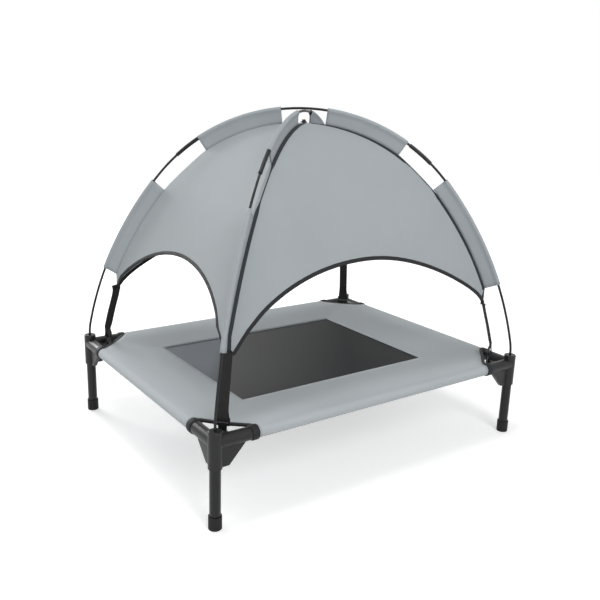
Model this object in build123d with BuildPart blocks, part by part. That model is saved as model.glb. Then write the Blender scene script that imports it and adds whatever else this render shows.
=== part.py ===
from build123d import *
import os
from math import cos, hypot, radians, sin, sqrt

os.makedirs("parts", exist_ok=True)

# Bed frame: four legs, four rails, all of one tube size
leg_span_x = 738.0
leg_span_y = 586.0
rail_height = 161.0
tube_d = 20.0
tube_wall = 1.2
push_clearance = 0.15

# Rubber feet
foot_d = 24.0
foot_height = 25.0
foot_floor = 5.0
foot_round = 2.0

# Moulded corner brackets
bracket_wall = 2.0
post_extra = 0.5
bracket_above_rail = 21.0
bracket_below_rail = 47.0
bracket_round = 2.0
arm_reach = 66.0
rail_stop = 14.0
leg_stop = 13.0
web_reach = 57.0
web_foot_reach = 25.0
web_thickness = 8.0
web_round = 8.0
hook_bar_d = 6.0
hook_bar_inset = 45.0
hook_bar_drop = 3.0

# Stretched bed cloth with its mesh centre
cover_thickness = 1.2
cover_clearance = 0.3
cover_sag = 8.0
mesh_length = 456.0
mesh_width = 338.0
mesh_shift = -11.0
mesh_overlap = 10.0
mesh_thickness = 1.0
cutout_radius = 70.0
cutout_binding_width = 12.0
cutout_chord = 55.5
chord_binding_width = 8.0
cutout_binding_thickness = 3.0

# Two crossing canopy poles
overall_height = 696.0
pole_d = 5.0
crossing_gap = 0.3
crown_angle = 50.0
shoulder_angle = 78.0
bend_radius = 120.0
bend_rise = 3.0
joint_angle = 38.3
ferrule_length = 58.0
ferrule_wall = 1.4
ferrule_clearance = 0.1
tip_d = 6.4
tip_length = 22.0
tip_floor = 3.0
socket_clearance = 0.3
socket_depth = 26.0

# Canopy cloth with its pole sleeves
fin_width = 29.0
fin_thickness = 1.6
loop_wall = 0.8
loop_clearance = 0.9
loop_run_out = 1.0
canopy_thickness = 1.6
seam_gap = 0.2
crossing_window_angle = 7.0
ferrule_gap = 0.12
lower_sleeve_angle = 51.8
sleeve_end_angle = 68.2
seam_start_angle = 0.6
corner_inset = 69.2
hem_corner_share = 0.42
long_hem_share = 0.6
short_hem_share = 0.588
hem_binding_width = 6.0
seam_binding_width = 6.0
binding_proud = 0.7

# Webbing straps, their hooks and the knob at the apex
strap_width = 22.0
strap_thickness = 1.6
strap_tab = 6.0
strap_gap = 0.1
strap_stand = 0.5
hook_clearance = 0.3
hook_wall = 2.2
hook_width = 15.0
hook_plate = 4.0
hook_prong = 4.0
hook_neck = 8.0
hook_rib = 0.6
hook_frame_side = 2.0
hook_frame_bar = 5.0
hook_slot_height = 4.5
knob_base_d = 14.0
knob_base_height = 2.0
knob_d = 8.0
knob_height = 4.0

# Sizes that follow from the driving ones
half_diagonal = hypot(leg_span_x, leg_span_y) / 2
arm_radius = tube_d / 2 + bracket_wall
post_radius = arm_radius + post_extra
bore_radius = tube_d / 2 + push_clearance
bracket_top = rail_height + bracket_above_rail
bracket_bottom = rail_height - bracket_below_rail
leg_top = rail_height - leg_stop
socket_floor = bracket_top - socket_depth
bend_start = bracket_top + bend_rise
sleeve_bore = tube_d / 2 + cover_clearance
cover_top = rail_height + sleeve_bore + cover_thickness
over_crown = overall_height - pole_d / 2
under_crown = over_crown - pole_d - crossing_gap
corner_radius = half_diagonal - corner_inset
hem_corner = hem_corner_share * overall_height
long_hem_top = long_hem_share * overall_height
short_hem_top = short_hem_share * overall_height
seam_side = fin_thickness / 2 + seam_gap
hook_bar_height = rail_height - hook_bar_drop
hook_throat = hook_bar_d / 2 + hook_clearance
hook_shoulder = hook_bar_height + hook_throat + hook_wall
hook_frame_bottom = hook_shoulder + hook_neck
hook_slot_bottom = hook_frame_bottom + hook_frame_bar
hook_slot_top = hook_slot_bottom + hook_slot_height
hook_top = hook_slot_top + hook_frame_bar
bisector_share = (leg_span_x + leg_span_y) / 2 / half_diagonal / sqrt(2)
strap_top_reach = binding_proud + strap_stand - corner_inset * bisector_share
strap_foot_reach = hook_plate / 2 + strap_gap - hook_bar_inset

corners = {
    "front_left": (-1, -1),
    "front_right": (1, -1),
    "rear_left": (-1, 1),
    "rear_right": (1, 1),
}
sides = {
    "front": ((-1, -1), (1, -1)),
    "right": ((1, -1), (1, 1)),
    "rear": ((1, 1), (-1, 1)),
    "left": ((-1, 1), (-1, -1)),
}


def save(builder, label):
    builder.part.label = label
    export_step(builder.part, f"parts/{label}.step")


def leg_axis(corner):
    return corner[0] * leg_span_x / 2, corner[1] * leg_span_y / 2


def toward(corner):
    return corner[0] * leg_span_x / 2 / half_diagonal, corner[1] * leg_span_y / 2 / half_diagonal


def diagonal_plane(corner):
    # Upright plane through the middle of the bed and one leg: x runs to the leg, y runs up
    along_x, along_y = toward(corner)
    return Plane(origin=(0, 0, 0), x_dir=(along_x, along_y, 0), z_dir=(along_y, -along_x, 0))


def bisector_plane(corner):
    # Upright plane through one leg, half-way between its two rails: x runs out from the leg, y runs up
    return Plane(origin=(*leg_axis(corner), 0), x_dir=(*corner, 0), z_dir=(corner[1], -corner[0], 0))


def arch(crown):
    # Half of a pole as three arcs that meet tangent: crown arc, shoulder arc, bend above the socket
    s1, c1 = sin(radians(crown_angle)), cos(radians(crown_angle))
    s2, c2 = sin(radians(shoulder_angle)), cos(radians(shoulder_angle))
    run = half_diagonal - bend_radius * (1 - s2)
    rise = crown - bend_start - bend_radius * c2
    scale = s1 * (c1 - c2) - (s2 - s1) * (1 - c1)
    crown_r = (run * (c1 - c2) - (s2 - s1) * rise) / scale
    shoulder_r = (s1 * rise - (1 - c1) * run) / scale
    crown_c = (0, crown - crown_r)
    shoulder_c = ((crown_r - shoulder_r) * s1, crown_c[1] + (crown_r - shoulder_r) * c1)
    return crown_r, shoulder_r, crown_c, shoulder_c


def crown_of(corner):
    return over_crown if corner[0] * corner[1] < 0 else under_crown


def on_arc(centre, radius, angle):
    return centre[0] + radius * sin(radians(angle)), centre[1] + radius * cos(radians(angle))


seam_crown_r, seam_shoulder_r, seam_crown_c, seam_shoulder_c = arch(over_crown)


def seam_outline(outside, inside, start, foot):
    # Closed band that follows the seam, between two distances measured in from the pole
    with BuildLine() as outline:
        for depth in (outside, inside):
            shoulder_r = seam_shoulder_r - depth
            CenterArc(seam_crown_c, seam_crown_r - depth, 90 - crown_angle, crown_angle - start)
            CenterArc(seam_shoulder_c, shoulder_r, 90 - sleeve_end_angle, sleeve_end_angle - crown_angle)
            Line(
                on_arc(seam_shoulder_c, shoulder_r, sleeve_end_angle),
                (corner_radius + fin_width - depth, foot),
            )
        Line(
            on_arc(seam_crown_c, seam_crown_r - outside, start),
            on_arc(seam_crown_c, seam_crown_r - inside, start),
        )
        Line((corner_radius + fin_width - outside, foot), (corner_radius + fin_width - inside, foot))
    make_face(outline.edges())


def corner_bracket(corner):
    x, y = leg_axis(corner)
    reaches = ((-corner[0], 0), (0, -corner[1]))
    bar_near = tube_d / 2
    bar_far = hook_bar_inset * sqrt(2) - bar_near
    bar_a = Vector(x - corner[0] * bar_far, y - corner[1] * bar_near, hook_bar_height)
    bar_b = Vector(x - corner[0] * bar_near, y - corner[1] * bar_far, hook_bar_height)
    with BuildPart() as bracket:
        with BuildSketch(Plane(origin=(x, y, bracket_bottom))):
            Circle(post_radius)
        extrude(amount=bracket_top - bracket_bottom)
        fillet(bracket.edges().group_by(Axis.Z)[-1], radius=bracket_round)
        for dx, dy in reaches:
            with BuildSketch(Plane(origin=(x, y, rail_height), z_dir=(dx, dy, 0))):
                Circle(arm_radius)
            extrude(amount=arm_reach)
            # Gusset under the arm, down to the foot of the post
            with BuildSketch(Plane(origin=(x, y, rail_height), x_dir=(dx, dy, 0), z_dir=(dy, -dx, 0))) as web:
                with BuildLine():
                    Polyline(
                        (0, 0),
                        (web_reach, 0),
                        (web_reach, -arm_radius),
                        (web_foot_reach, -bracket_below_rail),
                        (0, -bracket_below_rail),
                        close=True,
                    )
                make_face()
                fillet(web.vertices().group_by(Axis.Z)[0].sort_by_distance((x, y, 0))[-1], radius=web_round)
            extrude(amount=web_thickness / 2, both=True)
        # Round bar between the arms that the strap hook snaps over
        with BuildSketch(Plane(origin=bar_a, z_dir=bar_b - bar_a)):
            Circle(hook_bar_d / 2)
        extrude(amount=(bar_b - bar_a).length)
        # Open bores: leg from below, rails from the arm mouths, pole from above
        with BuildSketch(Plane(origin=(x, y, bracket_bottom))):
            Circle(bore_radius)
        extrude(amount=leg_top - bracket_bottom, mode=Mode.SUBTRACT)
        for dx, dy in reaches:
            mouth = (x + dx * rail_stop, y + dy * rail_stop, rail_height)
            with BuildSketch(Plane(origin=mouth, z_dir=(dx, dy, 0))):
                Circle(bore_radius)
            extrude(amount=arm_reach - rail_stop, mode=Mode.SUBTRACT)
        with BuildSketch(Plane(origin=(x, y, socket_floor))):
            Circle(tip_d / 2 + socket_clearance)
        extrude(amount=socket_depth, mode=Mode.SUBTRACT)
    return bracket


def leg_tube(corner):
    x, y = leg_axis(corner)
    with BuildPart() as leg:
        with BuildSketch(Plane(origin=(x, y, foot_floor))):
            Circle(tube_d / 2)
            Circle(tube_d / 2 - tube_wall, mode=Mode.SUBTRACT)
        extrude(amount=leg_top - foot_floor)
    return leg


def foot_cap(corner):
    x, y = leg_axis(corner)
    with BuildPart() as foot:
        with BuildSketch(Plane(origin=(x, y, 0))):
            Circle(foot_d / 2)
        extrude(amount=foot_height)
        fillet(foot.edges().group_by(Axis.Z)[0], radius=foot_round)
        with BuildSketch(Plane(origin=(x, y, foot_floor))):
            Circle(bore_radius)
        extrude(amount=foot_height - foot_floor, mode=Mode.SUBTRACT)
    return foot


def rail(start, direction, length):
    with BuildPart() as tube:
        with BuildSketch(Plane(origin=start, z_dir=direction)):
            Circle(tube_d / 2)
            Circle(tube_d / 2 - tube_wall, mode=Mode.SUBTRACT)
        extrude(amount=length)
    return tube


def bed_sheet(raise_top, drop_bottom):
    # Shallow tray of cloth, flat round the mesh and rising to the rails
    inner_x, inner_y = mesh_length + 2 * mesh_overlap, mesh_width + 2 * mesh_overlap
    for level, mode in ((-drop_bottom, Mode.ADD), (raise_top, Mode.SUBTRACT)):
        with BuildSketch(Plane.XY.offset(cover_top - cover_sag + level)) as middle:
            with Locations((mesh_shift, 0)):
                Rectangle(inner_x, inner_y)
        with BuildSketch(Plane.XY.offset(cover_top + level)) as rim:
            Rectangle(leg_span_x, leg_span_y)
        loft([middle.sketch.face(), rim.sketch.face()], ruled=True, mode=mode)
    with BuildSketch(Plane.XY) as window:
        with Locations((mesh_shift, 0)):
            Rectangle(mesh_length, mesh_width)
    extrude(window.sketch, amount=overall_height, mode=Mode.SUBTRACT)


def rail_loops(radius, mode):
    # Round sleeves that the rails run through
    for way in (-1, 1):
        long_start = Plane(origin=(-leg_span_x / 2, way * leg_span_y / 2, rail_height), z_dir=(1, 0, 0))
        with BuildSketch(long_start) as section:
            Circle(radius)
        extrude(section.sketch, amount=leg_span_x, mode=mode)
        short_start = Plane(origin=(way * leg_span_x / 2, -leg_span_y / 2, rail_height), z_dir=(0, 1, 0))
        with BuildSketch(short_start) as section:
            Circle(radius)
        extrude(section.sketch, amount=leg_span_y, mode=mode)


def cutout(corner, grow):
    # Cloth cut away round one leg: round past the sleeve mouths, straight across between them
    plane = Plane(origin=(*leg_axis(corner), 0), x_dir=(*corner, 0), z_dir=(0, 0, 1))
    radius = cutout_radius + grow * cutout_binding_width
    with BuildSketch(plane) as plan:
        Circle(radius)
        Rectangle(2 * (cutout_chord + grow * chord_binding_width), 2 * radius, mode=Mode.INTERSECT)
    return plan.sketch


def pole_crown(corner, crown):
    crown_r, shoulder_r, crown_c, shoulder_c = arch(crown)
    with BuildPart() as segment:
        with BuildLine(diagonal_plane(corner)) as path:
            CenterArc(crown_c, crown_r, 90 - joint_angle, 2 * joint_angle)
        with BuildSketch(Plane(origin=path.line @ 0, z_dir=path.line % 0)):
            Circle(pole_d / 2)
        sweep()
    return segment


def pole_lower(corner):
    crown_r, shoulder_r, crown_c, shoulder_c = arch(crown_of(corner))
    bend_c = (half_diagonal - bend_radius, bend_start)
    with BuildPart() as segment:
        with BuildLine(diagonal_plane(corner)) as path:
            Line((half_diagonal, socket_floor + tip_floor), (half_diagonal, bend_start))
            CenterArc(bend_c, bend_radius, 0, 90 - shoulder_angle)
            CenterArc(shoulder_c, shoulder_r, 90 - shoulder_angle, shoulder_angle - crown_angle)
            CenterArc(crown_c, crown_r, 90 - crown_angle, crown_angle - joint_angle)
        with BuildSketch(Plane(origin=path.line @ 0, z_dir=path.line % 0)):
            Circle(pole_d / 2)
        sweep()
    return segment


def ferrule(corner):
    crown_r, shoulder_r, crown_c, shoulder_c = arch(crown_of(corner))
    half_sweep = ferrule_length / 2 / radians(1) / crown_r
    with BuildPart() as tube:
        with BuildLine(diagonal_plane(corner)) as path:
            CenterArc(crown_c, crown_r, 90 - joint_angle - half_sweep, 2 * half_sweep)
        with BuildSketch(Plane(origin=path.line @ 0, z_dir=path.line % 0)):
            Circle(pole_d / 2 + ferrule_clearance + ferrule_wall)
            Circle(pole_d / 2 + ferrule_clearance, mode=Mode.SUBTRACT)
        sweep()
    return tube


def pole_tip(corner):
    x, y = leg_axis(corner)
    with BuildPart() as tip:
        with BuildSketch(Plane(origin=(x, y, socket_floor))):
            Circle(tip_d / 2)
        extrude(amount=tip_length)
        with BuildSketch(Plane(origin=(x, y, socket_floor + tip_floor))):
            Circle(pole_d / 2 + ferrule_clearance)
        extrude(amount=tip_length - tip_floor, mode=Mode.SUBTRACT)
    return tip


def pole_sleeve(corner):
    crown_r, shoulder_r, crown_c, shoulder_c = arch(crown_of(corner))
    plane = diagonal_plane(corner)
    bore = pole_d / 2 + loop_clearance
    deep = fin_width + canopy_thickness
    upper_end = joint_angle - (ferrule_length / 2 + ferrule_gap) / radians(1) / crown_r
    runs = (
        (crown_c, crown_r, seam_crown_c, seam_crown_r, crossing_window_angle, upper_end),
        (shoulder_c, shoulder_r, seam_shoulder_c, seam_shoulder_r, lower_sleeve_angle, sleeve_end_angle),
    )
    with BuildPart() as sleeve:
        # Seam allowance that runs on below the open windows
        with BuildSketch(plane):
            seam_outline(fin_width, deep, seam_start_angle, hem_corner)
        extrude(amount=fin_thickness / 2, both=True)
        for centre, radius, seam_centre, seam_radius, first, last in runs:
            # Doubled cloth between the seam and the pole
            with BuildSketch(plane):
                with BuildLine():
                    CenterArc(centre, radius, 90 - last, last - first)
                    CenterArc(seam_centre, seam_radius - deep, 90 - last, last - first)
                    Line(on_arc(centre, radius, first), on_arc(seam_centre, seam_radius - deep, first))
                    Line(on_arc(centre, radius, last), on_arc(seam_centre, seam_radius - deep, last))
                make_face()
            extrude(amount=fin_thickness / 2, both=True)
        for radius_here, past, mode in ((bore + loop_wall, 0, Mode.ADD), (bore, loop_run_out, Mode.SUBTRACT)):
            # Loop round the pole, bored clear past both of its ends
            for centre, radius, seam_centre, seam_radius, first, last in runs:
                with BuildLine(plane) as path:
                    CenterArc(centre, radius, 90 - last - past, last - first + 2 * past)
                with BuildSketch(Plane(origin=path.line @ 0, z_dir=path.line % 0)):
                    Circle(radius_here)
                sweep(path=path.line, mode=mode)
    return sleeve


def wedge_points(side, inset):
    # Apex and far ends of the plan triangle between two seams, drawn in from both
    first, second = sides[side]
    first_way, second_way = Vector(*toward(first)), Vector(*toward(second))
    middle = first_way + second_way
    apex = middle.normalized() * (inset / ((first_way - second_way).length / 2))
    return apex, apex + first_way * half_diagonal, apex + second_way * half_diagonal


def side_prism(side, outside, inside):
    # Cloth band of one side, drawn out level from seam to seam
    first, second = sides[side]
    start, end = Vector(*leg_axis(first)), Vector(*leg_axis(second))
    with BuildSketch(diagonal_plane(first)) as section:
        seam_outline(outside, inside, 0, hem_corner - strap_tab)
    extrude(section.sketch, amount=(end - start).length, dir=(end - start).normalized())


def plan_cut(points):
    with BuildSketch(Plane.XY) as plan:
        with BuildLine():
            Polyline(*[(p.X, p.Y) for p in points], close=True)
        make_face()
    extrude(plan.sketch, amount=overall_height, mode=Mode.INTERSECT)


def hem_circle(side):
    # Circle of the hem arch, seen square on: height of its centre and its radius
    first, second = sides[side]
    reach = (Vector(*toward(first)) - Vector(*toward(second))).length / 2 * corner_radius
    top = long_hem_top if side in ("front", "rear") else short_hem_top
    rise = top - hem_corner
    radius = (reach * reach + rise * rise) / 2 / rise
    return top - radius, radius


def hem_plane(side):
    first, second = sides[side]
    along = (Vector(*leg_axis(second)) - Vector(*leg_axis(first))).normalized()
    return Plane(origin=(0, 0, 0), x_dir=along, z_dir=along.cross(Vector(0, 0, 1)))


def hem_cut(side, width):
    centre, radius = hem_circle(side)
    with BuildSketch(hem_plane(side)) as opening:
        with Locations((0, centre)):
            Circle(radius + width)
    extrude(opening.sketch, amount=half_diagonal, both=True, mode=Mode.SUBTRACT)


def canopy_panel(side):
    taped = side in ("front", "rear")
    with BuildPart() as panel:
        side_prism(side, fin_width, fin_width + canopy_thickness)
        plan_cut(wedge_points(side, seam_side + seam_binding_width * taped))
        hem_cut(side, hem_binding_width)
    return panel


def hem_binding(side):
    centre, radius = hem_circle(side)
    with BuildPart() as binding:
        side_prism(side, fin_width - binding_proud, fin_width + canopy_thickness + binding_proud)
        plan_cut(wedge_points(side, seam_side))
        with BuildSketch(hem_plane(side)):
            with Locations((0, centre)):
                Circle(radius + hem_binding_width)
        extrude(amount=half_diagonal, both=True, mode=Mode.INTERSECT)
        hem_cut(side, 0)
    return binding


def seam_binding(side):
    apex, first_far, second_far = wedge_points(side, seam_side)
    inner_apex, inner_first, inner_second = wedge_points(side, seam_side + seam_binding_width)
    with BuildPart() as binding:
        side_prism(side, fin_width - binding_proud, fin_width + canopy_thickness + binding_proud)
        plan_cut((apex, first_far, inner_first, inner_apex, inner_second, second_far))
        hem_cut(side, hem_binding_width)
    return binding


def corner_strap(corner):
    face = (
        (strap_top_reach, hem_corner + strap_tab),
        (strap_top_reach, hem_corner),
        (strap_foot_reach, hook_top + strap_tab),
        (strap_foot_reach, hook_slot_top),
    )
    with BuildPart() as strap:
        with BuildSketch(bisector_plane(corner)):
            with BuildLine():
                Polyline(*face, *[(x + strap_thickness, z) for x, z in reversed(face)], close=True)
            make_face()
        extrude(amount=strap_width / 2, both=True)
    return strap


def strap_hook(corner):
    plane = bisector_plane(corner)
    frame_width = strap_width + 2 * (hook_frame_side + strap_gap)
    with BuildPart() as hook:
        # Prongs that straddle the bar, open straight down
        with BuildSketch(plane):
            with Locations((-hook_bar_inset, hook_bar_height)):
                Circle(hook_throat + hook_wall)
                with Locations((0, -hook_prong / 2)):
                    Rectangle(2 * (hook_throat + hook_wall), hook_prong)
                    Rectangle(2 * hook_throat, hook_prong, mode=Mode.SUBTRACT)
                Circle(hook_throat, mode=Mode.SUBTRACT)
        extrude(amount=hook_width / 2, both=True)
        # Ribbed neck up to the strap frame
        with BuildSketch(plane):
            with Locations((-hook_bar_inset, hook_shoulder + hook_neck / 2 - hook_wall / 4)):
                Rectangle(hook_plate, hook_neck + hook_wall / 2)
            with Locations(*[(-hook_bar_inset, hook_shoulder + hook_neck * step / 4) for step in (1, 2, 3)]):
                Rectangle(hook_plate + 2 * hook_rib, hook_neck / 8)
        extrude(amount=hook_width / 2, both=True)
        # Frame with the slot that the webbing is looped through
        with BuildSketch(plane):
            with Locations((-hook_bar_inset, (hook_frame_bottom + hook_top) / 2)):
                Rectangle(hook_plate, hook_top - hook_frame_bottom)
        extrude(amount=frame_width / 2, both=True)
        with BuildSketch(plane):
            with Locations((-hook_bar_inset, (hook_slot_bottom + hook_slot_top) / 2)):
                Rectangle(2 * hook_plate, hook_slot_height)
        extrude(amount=strap_width / 2 + strap_gap, both=True, mode=Mode.SUBTRACT)
    return hook


for name, corner in corners.items():
    save(corner_bracket(corner), f"corner_bracket_{name}")
    save(leg_tube(corner), f"leg_tube_{name}")
    save(foot_cap(corner), f"foot_cap_{name}")
    save(pole_lower(corner), f"pole_lower_{name}")
    save(ferrule(corner), f"ferrule_{name}")
    save(pole_tip(corner), f"pole_tip_{name}")
    save(pole_sleeve(corner), f"pole_sleeve_{name}")
    save(corner_strap(corner), f"corner_strap_{name}")
    save(strap_hook(corner), f"strap_hook_{name}")

save(pole_crown(corners["front_right"], over_crown), "pole_crown_over")
save(pole_crown(corners["front_left"], under_crown), "pole_crown_under")

for side, way in (("front", -1), ("rear", 1)):
    start = (-leg_span_x / 2 + rail_stop, way * leg_span_y / 2, rail_height)
    save(rail(start, (1, 0, 0), leg_span_x - 2 * rail_stop), f"rail_{side}")
    save(seam_binding(side), f"seam_binding_{side}")
for side, way in (("left", -1), ("right", 1)):
    start = (way * leg_span_x / 2, -leg_span_y / 2 + rail_stop, rail_height)
    save(rail(start, (0, 1, 0), leg_span_y - 2 * rail_stop), f"rail_{side}")

for side in sides:
    save(canopy_panel(side), f"canopy_panel_{side}")
    save(hem_binding(side), f"hem_binding_{side}")

# Bed cloth: tray and rail sleeves in one piece, cut back round each leg
with BuildPart() as bed_cover:
    bed_sheet(0, cover_thickness)
    rail_loops(sleeve_bore + cover_thickness, Mode.ADD)
    rail_loops(sleeve_bore, Mode.SUBTRACT)
    for corner in corners.values():
        extrude(cutout(corner, 1), amount=overall_height, mode=Mode.SUBTRACT)
save(bed_cover, "bed_cover")

# Open mesh sewn under the window of the cloth
with BuildPart() as mesh_panel:
    with BuildSketch(Plane.XY.offset(cover_top - cover_sag - cover_thickness - mesh_thickness)):
        with Locations((mesh_shift, 0)):
            Rectangle(mesh_length + mesh_overlap, mesh_width + mesh_overlap)
    extrude(amount=mesh_thickness)
save(mesh_panel, "mesh_panel")

# Folded tape round each cut-out and round the sleeve mouths beside it
for name, corner in corners.items():
    proud = (cutout_binding_thickness - cover_thickness) / 2
    with BuildPart() as cover_binding:
        bed_sheet(proud, cover_thickness + proud)
        rail_loops(sleeve_bore + cutout_binding_thickness, Mode.ADD)
        rail_loops(sleeve_bore, Mode.SUBTRACT)
        extrude(cutout(corner, 1), amount=overall_height, mode=Mode.INTERSECT)
        extrude(cutout(corner, 0), amount=overall_height, mode=Mode.SUBTRACT)
    save(cover_binding, f"cover_binding_{name}")

# Small knob that ties the four panels at the apex
with BuildPart() as apex_knob:
    with BuildSketch(Plane.XY.offset(over_crown - fin_width + binding_proud + strap_gap)):
        Circle(knob_base_d / 2)
    extrude(amount=knob_base_height)
    with BuildSketch(Plane.XY.offset(over_crown - fin_width + binding_proud + strap_gap + knob_base_height)):
        Circle(knob_d / 2)
    extrude(amount=knob_height)
    fillet(apex_knob.edges().group_by(Axis.Z)[-1], radius=knob_d / 4)
save(apex_knob, "apex_knob")
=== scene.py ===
# %% [markdown]
# # A raised dog bed with a domed canopy
# The bed is a steel tube frame with plastic corner brackets and a grey cloth cot.
# Two crossing rods hold a cloth dome over it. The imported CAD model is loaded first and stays
# where it is. Rigid pieces keep their CAD shape and get a material; every piece of cloth, tape and
# webbing is modelled here, because cloth is a thin bent sheet and not a block.

# %% Load the frame
from math import cos, hypot, pi, radians, sin

import bmesh
import bpy
import numpy as np
from mathutils import Matrix, Vector


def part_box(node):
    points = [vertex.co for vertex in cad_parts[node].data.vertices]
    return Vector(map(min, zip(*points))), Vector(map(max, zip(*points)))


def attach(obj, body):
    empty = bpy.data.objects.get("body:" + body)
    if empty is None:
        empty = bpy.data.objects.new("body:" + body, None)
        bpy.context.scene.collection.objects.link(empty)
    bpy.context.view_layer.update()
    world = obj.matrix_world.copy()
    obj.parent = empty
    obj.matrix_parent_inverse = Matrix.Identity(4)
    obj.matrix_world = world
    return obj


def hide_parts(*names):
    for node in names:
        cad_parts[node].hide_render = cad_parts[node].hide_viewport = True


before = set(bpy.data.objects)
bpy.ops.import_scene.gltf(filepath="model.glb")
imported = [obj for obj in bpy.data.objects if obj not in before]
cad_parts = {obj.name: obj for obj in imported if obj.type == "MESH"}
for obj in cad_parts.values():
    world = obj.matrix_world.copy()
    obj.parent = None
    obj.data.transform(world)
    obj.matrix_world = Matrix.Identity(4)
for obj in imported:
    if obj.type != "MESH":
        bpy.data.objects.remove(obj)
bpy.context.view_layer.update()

# %% [markdown]
# ## Camera
# The photograph was taken from the front left, a little above the bed. The camera was worked out
# from the feet, the bracket tops and the rod arches, so it is set by its place and its turn.
# A camera can also be aimed with a tracking constraint, but a fixed turn is exact and never drifts.

# %% Camera at the photograph's angle
mm = 0.001
camera_azimuth = radians(-35.43)
camera_elevation = radians(15.27)
camera_roll = radians(1.76)
camera_place = Vector((-0.90679, -1.27005, 0.71389))
lens_mm = 44.122
sensor_mm = 36.0
lens_shift = (0.0047, -0.0024)

back = Vector((
    sin(camera_azimuth) * cos(camera_elevation),
    -cos(camera_azimuth) * cos(camera_elevation),
    sin(camera_elevation),
))
level_right = Vector((cos(camera_azimuth), sin(camera_azimuth), 0))
level_up = back.cross(level_right)
camera_right = cos(camera_roll) * level_right + sin(camera_roll) * level_up
camera_up = cos(camera_roll) * level_up - sin(camera_roll) * level_right

camera = bpy.data.objects.new("camera", bpy.data.cameras.new("camera"))
bpy.context.scene.collection.objects.link(camera)
camera.matrix_world = Matrix((
    (camera_right.x, camera_up.x, back.x, camera_place.x),
    (camera_right.y, camera_up.y, back.y, camera_place.y),
    (camera_right.z, camera_up.z, back.z, camera_place.z),
    (0, 0, 0, 1),
))
camera.data.sensor_width = sensor_mm
camera.data.lens = lens_mm
camera.data.shift_x, camera.data.shift_y = lens_shift
bpy.context.scene.camera = camera
bpy.context.scene.view_settings.view_transform = "Standard"
print("camera at", tuple(camera_place))

# %% [markdown]
# ## Helpers for materials
# A colour is written as the hex value that a screen shows, and Blender works with linear light,
# so one function turns the first into the second. Another adds a shader node with its settings
# and its links in one call, which keeps each material readable from top to bottom. Arithmetic
# and mixtures of two colours come up most often, so they have a short form each.

# %% Colour and node helpers
def linear(hex_colour):
    parts = [int(hex_colour[i:i + 2], 16) / 255 for i in (1, 3, 5)]
    return (*[p / 12.92 if p <= 0.04045 else ((p + 0.055) / 1.055) ** 2.4 for p in parts], 1.0)


def add_node(owner, kind, settings=None, links=None):
    node = owner.node_tree.nodes.new("ShaderNode" + kind)
    for name, value in (settings or {}).items():
        setattr(node, name, value)
    for name, value in (links or {}).items():
        if isinstance(value, bpy.types.NodeSocket):
            owner.node_tree.links.new(value, node.inputs[name])
        else:
            node.inputs[name].default_value = value
    return node


def math_node(owner, operation, *values):
    return add_node(owner, "Math", {"operation": operation}, dict(enumerate(values))).outputs[0]


def mix_colours(owner, share, first, second):
    links = {0: share, 6: first, 7: second}
    return add_node(owner, "Mix", {"data_type": "RGBA"}, links).outputs[2]


def blank_material(name):
    material = bpy.data.materials.new(name)
    material.use_nodes = True
    material.node_tree.nodes.clear()
    return material


def close_material(material, surface):
    add_node(material, "OutputMaterial", links={"Surface": surface.outputs[0]})
    print("material", material.name, "has", len(material.node_tree.nodes), "nodes")
    return material


# %% [markdown]
# ## Floor, backdrop and light
# The studio is white all round. The backdrop shows plain white to the camera and in reflections,
# through the light path node, and lights the bed by direction: strongest behind and to the left
# and near the horizon, where the light comes in under the canopy through its four doorways. The
# floor shows a little brighter than its paint in the same way, so that it reaches white and still
# keeps the soft grey shadow under the bed. Three soft lamps do the rest: a large one in front for
# the dome, one behind that reaches the cot through the rear doorway, and one overhead that lays
# the shadow straight under the bed as in the photograph.

# %% White studio
scene = bpy.context.scene
white_light = (1, 1, 1, 1)
sky_behind, sky_before = 0.46, 0.20
sky_turn = 0.8   # cosine at which the light has turned from one to the other
horizon_gain, horizon_power = 2.2, 3.0
floor_diffuse = "#E9E9E9"
floor_glow_near, floor_glow_far = 0.44, 0.67
glow_start, glow_end = 0.6, 2.2   # metres from the middle of the floor
floor_half = 6.0

world = bpy.data.worlds.new("studio")
scene.world = world
world.use_nodes = True
world.node_tree.nodes.clear()


def in_view(owner):
    # Rays from the camera, and those that a shiny or clear piece mirrors or lets through
    ray = add_node(owner, "LightPath").outputs
    mirrored = math_node(owner, "MAXIMUM", ray["Is Glossy Ray"], ray["Is Transmission Ray"])
    return math_node(owner, "MAXIMUM", ray["Is Camera Ray"], mirrored)


looking = add_node(world, "TexCoord").outputs["Generated"]
bright_way = Vector((-0.42, 0.87, 0.25)).normalized()
toward = add_node(world, "VectorMath", {"operation": "DOT_PRODUCT"}, {0: looking, 1: bright_way})
sky_level = add_node(world, "MapRange", links={
    "Value": toward.outputs["Value"], "From Min": -sky_turn, "From Max": sky_turn,
    "To Min": sky_before, "To Max": sky_behind})
rise = add_node(world, "SeparateXYZ", links={0: looking}).outputs["Z"]
flatness = math_node(world, "SUBTRACT", 1.0, math_node(world, "ABSOLUTE", rise))
band = math_node(world, "POWER", flatness, horizon_power)
gain = math_node(world, "MULTIPLY_ADD", band, horizon_gain, 1.0)
strength = math_node(world, "MULTIPLY", gain, sky_level.outputs[0])
lit = add_node(world, "Background", links={"Color": white_light, "Strength": strength})
white = add_node(world, "Background", links={"Color": white_light, "Strength": 1.0})
sky = add_node(world, "MixShader", links={
    0: in_view(world), 1: lit.outputs[0], 2: white.outputs[0]})
add_node(world, "OutputWorld", links={"Surface": sky.outputs[0]})

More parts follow.
